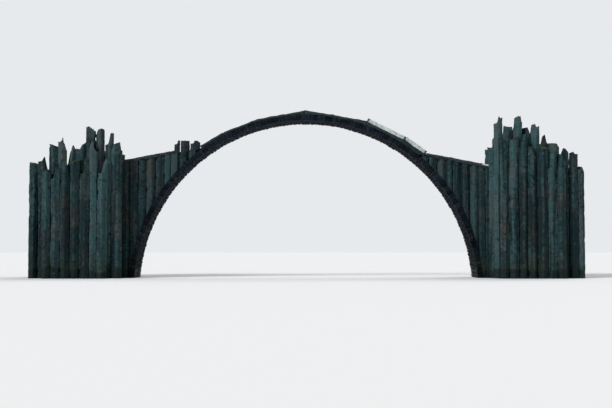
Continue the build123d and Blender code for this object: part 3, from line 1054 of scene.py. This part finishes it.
def setts(name, walk, finish):
    """The setts of one stretch of the walk."""
    draw = draw_for(name)
    run, half_width, place = walk
    heap = Heap(SETT_CREASE)
    for outline in packed(run, half_width, settings().paving.sett, draw):
        add_sett(heap, outline, place, draw)
    return heap.piece(name, finish, "paving_stone")


# Finishes

# How far apart in the patterns two stones lie whose tones differ by one
STONES_APART = 43.0
# How strongly the fine relief of a finish shows
RELIEF_STRENGTH = 0.9
# How often bands across a column that stands or lies, and streaks down a face, come along each axis
UPRIGHT = (1.6, 1.6, 15.0)
LYING = (13.0, 1.6, 1.6)
STREAKS = (3.4, 3.4, 0.2)


class Wiring:
    """Adds and joins nodes for a material or a world."""

    def __init__(self, owner):
        owner.use_nodes = True
        self.tree = owner.node_tree

    def join(self, value, socket):
        """Links another node's socket to this one, or sets this one's value."""
        if isinstance(value, bpy.types.NodeSocket):
            self.tree.links.new(value, socket)
        else:
            socket.default_value = value

    def node(self, kind, output=0, inputs=None, **choices):
        """Adds a node, sets its choices and its inputs, and gives back one of its outputs."""
        made = self.tree.nodes.new(kind)
        for choice, value in choices.items():
            setattr(made, choice, value)
        for socket, value in (inputs or {}).items():
            self.join(value, made.inputs[socket])
        return made.outputs[output]

    def maths(self, operation, *values):
        return self.node("ShaderNodeMath", inputs=dict(enumerate(values)), operation=operation)

    def vector(self, operation, *values):
        return self.node("ShaderNodeVectorMath", inputs=dict(enumerate(values)), operation=operation)


class Bench(Wiring):
    """Makes one finish from the places and marks of a stone's points.

    Patterns that are read at the stone's own place differ from stone to stone. Those that are read at
    the place on the bridge run on over the joints."""

    def __init__(self, name):
        self.finish = bpy.data.materials.new(name)
        super().__init__(self.finish)
        self.shader = self.tree.nodes["Principled BSDF"]
        self.tone, self.wear, self.bare = (
            self.node("ShaderNodeAttribute", output="Fac", attribute_name=mark)
            for mark in ("tone", "wear", "bare")
        )
        self.bridge = self.node("ShaderNodeTexCoord", output="Object")
        self.stone = self.vector("ADD", self.bridge, self.maths("MULTIPLY", self.tone, STONES_APART))
        self.level = self.node("ShaderNodeSeparateXYZ", output="Z", inputs={0: self.bridge})
        facing = self.node("ShaderNodeNewGeometry", output="Normal")
        self.facing_up = self.node("ShaderNodeSeparateXYZ", output="Z", inputs={0: facing})

    def noise(self, at, scale, detail=4.0, roughness=0.55, output=0):
        inputs = {"Vector": at, "Scale": scale, "Detail": detail, "Roughness": roughness}
        return self.node("ShaderNodeTexNoise", output=output, inputs=inputs)

    def cells(self, at, scale, feature="F1"):
        """How far a place is from the middle of its cell, or from its edge."""
        return self.node("ShaderNodeTexVoronoi", inputs={"Vector": at, "Scale": scale}, feature=feature)

    def product(self, first, *others):
        for other in others:
            first = self.maths("MULTIPLY", first, other)
        return first

    def total(self, start, *parts):
        """A sum of a start and of parts, each given with how many times it is added."""
        for value, times in parts:
            start = self.maths("MULTIPLY_ADD", value, times, start)
        return start

    def between(self, value, none, full):
        """0 up to none, 1 from full on, and smooth between. Full may be the lower of the two."""
        inputs = {"Value": value, "From Min": none, "From Max": full}
        return self.node("ShaderNodeMapRange", inputs=inputs, interpolation_type="SMOOTHSTEP")

    def blend(self, part, here, there):
        """A colour that goes from here to there with a share from 0 to 1."""
        mix = self.tree.nodes.new("ShaderNodeMix")
        mix.data_type = "RGBA"
        sockets = [s for s in mix.inputs if s.type == "RGBA"]
        self.join(part, mix.inputs[0])
        for socket, value in zip(sockets, (here, there)):
            self.join(value if isinstance(value, bpy.types.NodeSocket) else (*tuple(value), 1.0), socket)
        return next(s for s in mix.outputs if s.type == "RGBA")

    def coated(self, tint, coat, cover, opacity):
        """A tint with another colour over it, as far as its cover and its opacity go."""
        return self.blend(self.maths("MULTIPLY", cover, opacity), tint, coat)

    def shades(self, part, tint, dark, pale):
        """A colour that goes from a darker to a paler shade of a tint."""
        return self.blend(part, scaled(tint, dark), scaled(tint, pale))

    def finish_with(self, tint, roughness, height, depth, specular):
        """Joins all to the shader. The height is relief, and the depth is how far it stands out."""
        inputs = {"Strength": RELIEF_STRENGTH, "Distance": depth, "Height": height}
        self.join(tint, self.shader.inputs["Base Color"])
        self.join(roughness, self.shader.inputs["Roughness"])
        self.join(self.node("ShaderNodeBump", inputs=inputs), self.shader.inputs["Normal"])
        self.shader.inputs["Specular IOR Level"].default_value = specular
        return self.finish


def scaled(tint, by):
    return tuple(by * channel for channel in tint)


class Basalt(Bench):
    """Weathered basalt: the patterns in the stone, and the layers that lie on it."""

    def __init__(self, name):
        super().__init__(name)
        self.mottle = self.noise(self.stone, scale=1.7, detail=7.0, roughness=0.66)
        self.blotch = self.noise(self.stone, scale=6.5, detail=5.0, roughness=0.6)
        self.grain = self.noise(self.stone, scale=36.0, detail=5.0, roughness=0.6)
        self.patches = self.noise(self.bridge, scale=2.7, detail=6.0, roughness=0.65)
        self.pits = self.between(self.cells(self.stone, scale=46.0), none=0.35, full=0.05)
        self.crack = self.cracks()

    def cracks(self):
        """Fine bent cracks, in some parts of the stone."""
        bends = self.noise(self.stone, scale=3.0, detail=2.0, roughness=0.5, output="Color")
        bent = self.vector("ADD", self.stone, self.vector("MULTIPLY", bends, (0.5, 0.5, 0.5)))
        from_crack = self.cells(bent, scale=1.1, feature="DISTANCE_TO_EDGE")
        crack = self.between(from_crack, none=0.022, full=0.004)
        return self.product(crack, self.between(self.mottle, none=0.50, full=0.60))

    def own_tint(self, dark, pale, bands, streaked):
        """The stone's tint: paler high up, a painted highlight; paler where worn, with a painted highlight
        on edges; darker in pits, cracks and streaks.
        """
        # Painted highlight: the stone grows paler the higher it stands, up to the towers' tops
        high = self.between(self.level, none=0.3, full=6.5)
        # Paler where worn and chipped, with a painted highlight along the edges
        worn_and_highlit = self.product(self.wear, self.between(self.blotch, none=0.38, full=0.56))
        paler = [
            (self.tone, 0.40), (self.mottle, 0.55), (self.blotch, 0.32), (self.grain, 0.20),
            (high, 0.16), (worn_and_highlit, 0.42), (self.pits, -0.16), (self.crack, -0.5),
        ]
        if streaked:
            streak = self.noise(self.vector("MULTIPLY", self.bridge, STREAKS), scale=1.0)
            paler.append((self.between(streak, none=0.47, full=0.64), -0.34 * streaked))
        if bands:
            paler.append((bands, 0.14))
        return self.blend(self.between(self.total(-0.09, *paler), none=0.42, full=1.16), dark, pale)

    def relief(self, bands):
        """Grain, blotches and bands that stand out, and pits and cracks that lie deeper."""
        raised = [(self.grain, 0.5), (self.pits, -0.5), (self.blotch, 1.4), (self.crack, -1.6)]
        return self.total(0.0, *raised, *([(bands, 1.5)] if bands else []))

    def stained(self, tint, varied):
        """A tint with grey patches, rust that has come out of the stone, and spots of lichen."""
        looks = settings().finishes
        grey = self.node("ShaderNodeRGBToBW", inputs={0: tint})
        faded = self.noise(self.stone, scale=0.45, detail=4.0, roughness=0.6)
        tint = self.coated(tint, grey, self.between(faded, none=0.42, full=0.62), 0.45 * varied)
        rusty = self.noise(self.stone, scale=0.9, detail=5.0, roughness=0.6)
        tint = self.coated(tint, looks.rust, self.between(rusty, none=0.54, full=0.70), 0.3 * varied)
        field = self.noise(self.stone, scale=2.3, detail=3.0, roughness=0.5)
        spots = self.noise(self.stone, scale=19.0, detail=4.0, roughness=0.7)
        lichen = self.product(
            self.between(field, none=0.70 - looks.lichen_cover, full=0.74),
            self.between(spots, none=0.54, full=0.66),
        )
        return self.coated(tint, looks.lichen, lichen, opacity=0.45)

    def with_painted_highlight(self, tint):
        """A tint with a painted highlight: a pale, mottled strip where light catches a worn smooth log."""
        ragged = self.total(self.grain, (self.mottle, 0.9), (self.blotch, 1.0), (self.bare, 1.15))
        here = self.between(self.bare, none=0.05, full=0.5)
        highlit = self.product(self.between(ragged, none=1.85, full=2.35), here)
        highlight_mottle = self.between(self.blotch, none=0.35, full=0.62)
        return self.blend(highlit, tint, self.shades(highlight_mottle, settings().finishes.kerb_bare, 0.62, 1.0))

    def mossy(self, moss):
        """Where moss grows: in patches on ledges, but not where a log is worn smooth and highlighted."""
        cover = settings().finishes.moss_cover
        ledge = self.between(self.facing_up, none=0.25, full=0.8)
        patchy = self.between(self.patches, none=0.75 - cover, full=0.78 - 0.5 * cover)
        return self.product(ledge, patchy, moss, self.maths("SUBTRACT", 1.0, self.bare))

    def above_tide(self):
        """Height over the uneven line up to which the water wets the stone."""
        ripples = self.noise(self.bridge, scale=1.1, detail=6.0, roughness=0.6)
        return self.maths("SUBTRACT", self.level, self.total(-0.02, (ripples, 0.9)))


def basalt(name, kind, shade=1.0, bands_across=None, streaked=0.0, moss=1.0, varied=1.0, specular=0.12):
    """A finish of weathered basalt in the dark and the pale colour of a kind of stone.

    It has bands across the columns, streaks, moss and stains."""
    looks = settings().finishes
    dark = getattr(looks, f"{kind}_dark")
    # The shade scales the pale colour down; on the spandrels it is painted shade
    pale = scaled(getattr(looks, f"{kind}_pale"), shade)
    bench = Basalt(name)
    bands = None
    if bands_across:
        along = bench.vector("MULTIPLY", bench.stone, bands_across)
        bands = bench.noise(along, scale=1.0, detail=3.0, roughness=0.55)
    tint = bench.with_painted_highlight(bench.stained(bench.own_tint(dark, pale, bands, streaked), varied))
    mossy = bench.mossy(moss)
    tufts = bench.noise(bench.bridge, scale=21.0, detail=3.0)
    tint = bench.blend(mossy, tint, bench.shades(tufts, looks.moss, 0.5, 1.5))
    above = bench.above_tide()
    slimy = bench.product(
        bench.between(above, none=0.75, full=0.05), bench.between(bench.patches, none=0.44, full=0.58)
    )
    tint = bench.coated(tint, looks.slime, slimy, opacity=0.7)
    wet = bench.between(above, none=0.06, full=-0.08)
    tint = bench.coated(tint, scaled(dark, 0.6), wet, opacity=0.85)
    roughness = bench.total(0.66, (bench.grain, 0.25), (bench.bare, -0.4), (wet, -0.3))
    roughness = bench.maths("MAXIMUM", bench.maths("MULTIPLY", mossy, 0.95), roughness)
    fluff = bench.noise(bench.bridge, scale=60.0, detail=3.0)
    height = bench.total(bench.relief(bands), (mossy, fluff))
    return bench.finish_with(tint, roughness, height, depth=0.02, specular=specular)


def earth_bed():
    """Earth, grit and moss between the setts."""
    looks = settings().finishes
    bench = Bench("earth and moss between setts")
    grit = bench.noise(bench.bridge, scale=55.0, detail=5.0, roughness=0.65)
    patches = bench.noise(bench.bridge, scale=1.9, detail=6.0, roughness=0.6)
    mossy = bench.between(patches, none=0.42, full=0.55)
    tufts = bench.noise(bench.bridge, scale=30.0, detail=3.0)
    fluff = bench.noise(bench.bridge, scale=80.0, detail=3.0)
    earth = bench.shades(grit, looks.earth, 0.6, 2.2)
    tint = bench.blend(mossy, earth, bench.shades(tufts, looks.moss, 0.7, 1.9))
    return bench.finish_with(tint, 0.92, bench.total(grit, (mossy, fluff)), depth=0.012, specular=0.2)


def joint_mortar():
    """Old dark mortar and packing in the arch's joints."""
    looks = settings().finishes
    bench = Bench("dark joint mortar")
    crumbs = bench.noise(bench.bridge, scale=40.0, detail=5.0, roughness=0.65)
    tint = bench.blend(crumbs, scaled(looks.ring_dark, 0.5), scaled(looks.earth, 0.6))
    return bench.finish_with(tint, 0.95, crumbs, depth=0.01, specular=0.15)


def rubble():
    """Loose rubble and earth packed inside the abutments."""
    looks = settings().finishes
    bench = Bench("packed rubble")
    stones = bench.cells(bench.bridge, scale=6.0)
    grit = bench.noise(bench.bridge, scale=30.0, detail=5.0, roughness=0.65)
    tint = bench.blend(bench.between(stones, none=0.5, full=0.1), looks.earth, looks.column_dark)
    tint = bench.coated(tint, looks.column_pale, grit, opacity=0.4)
    return bench.finish_with(tint, 0.9, bench.total(grit, (stones, -1.5)), depth=0.05, specular=0.2)


def dress(node, finish):
    """Gives a solid of the frame, which stays as it is, a finish."""
    materials = NODES[node].data.materials
    materials.clear()
    materials.append(finish)


# One operator for each group of pieces


class BRIDGE_OT_columns(Operator):
    """Build the upright columns of the towers, the spandrels and the ends"""

    bl_idname = "moon_bridge.columns"
    bl_label = "Columns"

    def execute(self, context):
        tower = basalt("teal grey column basalt", "column", 1.0, UPRIGHT, streaked=1.0)
        # Painted shade: the spandrels' columns take a darkened pale colour
        shade = settings().finishes.spandrel_painted_shade
        spandrel = basalt("shaded spandrel basalt", "column", shade, UPRIGHT, streaked=1.0)
        deepest = settings().columns.tower_break
        for side in SIDES:
            columns_of(f"{side}_end_columns", on_water, 0.0, tower)
            tower_start = min(abs(co.x) for co in corners_of(f"{side}_tower_fill"))
            for face in FACES:
                columns_of(f"{face}_{side}_tower_columns", on_water, deepest, tower)
                columns_of(f"{face}_{side}_spandrel_columns", on_ring_back, 0.0, spandrel, tower_start)
        return {"FINISHED"}


class BRIDGE_OT_stubs(Operator):
    """Build the upright stubs on the left shoulder"""

    bl_idname = "moon_bridge.stubs"
    bl_label = "Parapet stubs"

    def execute(self, context):
        finish = basalt("stub basalt", "kerb", bands_across=UPRIGHT, streaked=0.4)
        columns_of("front_left_parapet_stubs", None, settings().columns.stub_break, finish)
        return {"FINISHED"}


class BRIDGE_OT_ring(Operator):
    """Build the voussoirs and keystones of both faces, and the bed in their joints"""

    bl_idname = "moon_bridge.ring"
    bl_label = "Ring stones"

    def execute(self, context):
        # Partly painted shade: the ring's near black colours
        finish = basalt("navy black ring basalt", "ring", moss=0.5, varied=0.35, specular=0.05)
        for face in FACES:
            voussoirs_of(f"{face}_keystone", math.inf, finish)
            for side in SIDES:
                voussoirs_of(f"{face}_{side}_ring_stones", settings().ring.slab, finish)
        arch_bed(joint_mortar())
        return {"FINISHED"}


class BRIDGE_OT_barrel(Operator):
    """Build the rubble courses of the barrel, which show from below"""

    bl_idname = "moon_bridge.barrel"
    bl_label = "Barrel"

    def execute(self, context):
        # Partly painted shade: the soffit takes the ring's near black colours
        barrel_stones(basalt("soffit basalt", "ring", moss=0.0, varied=0.35, specular=0.05))
        return {"FINISHED"}


class BRIDGE_OT_kerbs(Operator):
    """Build the basalt logs along both edges of the walk"""

    bl_idname = "moon_bridge.kerbs"
    bl_label = "Kerb logs"

    def execute(self, context):
        # Painted highlight on the slanting sides of some logs, and partly painted shade in their near black
        finish = basalt("worn kerb basalt", "kerb", bands_across=LYING, moss=0.6, specular=0.08)
        for face, side, stretch in product(FACES, SIDES, ("arch", "path")):
            node = f"{face}_{side}_{stretch}_kerb"
            logs_of(node, BARE_AND_HIGHLIGHTED_LOGS.get(node, ()), finish)
        return {"FINISHED"}


class BRIDGE_OT_paving(Operator):
    """Lay the setts of the walk in their bed of earth and moss"""

    bl_idname = "moon_bridge.paving"
    bl_label = "Paving"

    def execute(self, context):
        finish = basalt("worn sett basalt", "sett", moss=0.35)
        bed = earth_bed()
        setts("arch_setts", arch_walk(), finish)
        for side in SIDES:
            setts(f"{side}_path_setts", path_walk(side), finish)
        for node in ("arch_paving", "left_path_paving", "right_path_paving"):
            dress(node, bed)
        return {"FINISHED"}


class BRIDGE_OT_fill(Operator):
    """Give the rubble inside the abutments its finish"""

    bl_idname = "moon_bridge.fill"
    bl_label = "Rubble fill"

    def execute(self, context):
        finish = rubble()
        for side, part in product(SIDES, ("spandrel", "tower")):
            dress(f"{side}_{part}_fill", finish)
        return {"FINISHED"}


# Directions to the lamps from the bridge, and the angles over which their light spreads, in degrees
KEY_FROM = (-0.72, -0.72, 0.72)
KEY_SPREAD = 20
SKY_FROM = (0.42, 0.46, 0.9)
SKY_SPREAD = 36
LAMP_DISTANCE = 50
# How far the camera sees, and how many sides the round floor has
SIGHT = 1000.0
FLOOR_SIDES = 96


class BRIDGE_OT_stage(Operator):
    """Set the camera, the floor, the backdrop and the light"""

    bl_idname = "moon_bridge.stage"
    bl_label = "Stage"

    def execute(self, context):
        sizes = settings().stage
        scene = context.scene
        scene.view_settings.view_transform = "Standard"
        self.floor(sizes)
        self.backdrop(scene, sizes)
        self.lamp("key", sizes.key_light, KEY_FROM, KEY_SPREAD)
        self.lamp("sky_light", sizes.sky_light, SKY_FROM, SKY_SPREAD)
        camera = bpy.data.objects.new("camera", bpy.data.cameras.new("camera"))
        scene.collection.objects.link(camera)
        camera.location = (0.0, -sizes.eye_distance, sizes.eye_height)
        aim = Vector((0.0, 0.0, sizes.aim_height)) - camera.location
        camera.rotation_euler = aim.to_track_quat("-Z", "Y").to_euler()
        camera.data.lens = sizes.lens
        camera.data.clip_end = SIGHT
        scene.camera = camera
        return {"FINISHED"}

    def floor(self, sizes):
        shell = bmesh.new()
        bmesh.ops.create_circle(shell, cap_ends=True, radius=sizes.floor_radius, segments=FLOOR_SIDES)
        mesh = bpy.data.meshes.new("pale_floor")
        shell.to_mesh(mesh)
        shell.free()
        bench = Bench("pale floor")
        bench.shader.inputs["Base Color"].default_value = (*sizes.floor_colour, 1.0)
        bench.shader.inputs["Roughness"].default_value = 0.95
        bench.shader.inputs["Specular IOR Level"].default_value = 0.1
        mesh.materials.append(bench.finish)
        floor = bpy.data.objects.new("pale_floor", mesh)
        bpy.context.scene.collection.objects.link(floor)

    def backdrop(self, scene, sizes):
        """Even light from all round, and a pale colour behind the bridge and in its reflections."""
        world = bpy.data.worlds.new("studio")
        wiring = Wiring(world)
        light = wiring.tree.nodes["Background"]
        light.inputs["Color"].default_value = (1.0, 1.0, 1.0, 1.0)
        light.inputs["Strength"].default_value = sizes.even_light
        seen = wiring.node("ShaderNodeBackground", inputs={"Color": (*sizes.backdrop_colour, 1.0)})
        path = wiring.tree.nodes.new("ShaderNodeLightPath")
        shows = path.outputs["Is Camera Ray"]
        for ray in ("Is Glossy Ray", "Is Transmission Ray"):
            shows = wiring.maths("MAXIMUM", shows, path.outputs[ray])
        mixed = wiring.node("ShaderNodeMixShader", inputs={0: shows, 1: light.outputs[0], 2: seen})
        wiring.join(mixed, wiring.tree.nodes["World Output"].inputs["Surface"])
        scene.world = world

    def lamp(self, name, strength, toward, spread):
        """A broad, soft lamp far away in a direction, which spreads over an angle in degrees."""
        light = bpy.data.lights.new(name, "SUN")
        light.energy = strength
        light.angle = math.radians(spread)
        lamp = bpy.data.objects.new(name, light)
        lamp.location = Vector(toward).normalized() * LAMP_DISTANCE
        lamp.rotation_euler = (-Vector(toward)).to_track_quat("-Z", "Y").to_euler()
        bpy.context.scene.collection.objects.link(lamp)


class BRIDGE_PT_panel(Panel):
    """Lists the builders of the bridge's pieces"""

    bl_idname = "BRIDGE_PT_panel"
    bl_label = "Moon Bridge"
    bl_space_type = "VIEW_3D"
    bl_region_type = "UI"
    bl_category = "Moon Bridge"

    def draw(self, context):
        for builder in BUILDERS:
            self.layout.operator(builder.bl_idname)


SETTINGS = (SkinSizes, ColumnSizes, RingSizes, KerbSizes, PavingSizes, Finishes, StageSizes, BridgeSettings)
BUILDERS = (
    BRIDGE_OT_columns,
    BRIDGE_OT_stubs,
    BRIDGE_OT_ring,
    BRIDGE_OT_barrel,
    BRIDGE_OT_kerbs,
    BRIDGE_OT_paving,
    BRIDGE_OT_fill,
    BRIDGE_OT_stage,
)


def register():
    for kind in (*SETTINGS, *BUILDERS, BRIDGE_PT_panel):
        bpy.utils.register_class(kind)
    bpy.types.Scene.moon_bridge = PointerProperty(type=BridgeSettings)


def unregister():
    del bpy.types.Scene.moon_bridge
    for kind in (BRIDGE_PT_panel, *reversed(BUILDERS), *reversed(SETTINGS)):
        bpy.utils.unregister_class(kind)


def main():
    register()
    bpy.ops.moon_bridge.columns()
    bpy.ops.moon_bridge.stubs()
    bpy.ops.moon_bridge.ring()
    bpy.ops.moon_bridge.barrel()
    bpy.ops.moon_bridge.kerbs()
    bpy.ops.moon_bridge.paving()
    bpy.ops.moon_bridge.fill()
    bpy.ops.moon_bridge.stage()


if __name__ == "__main__":
    main()
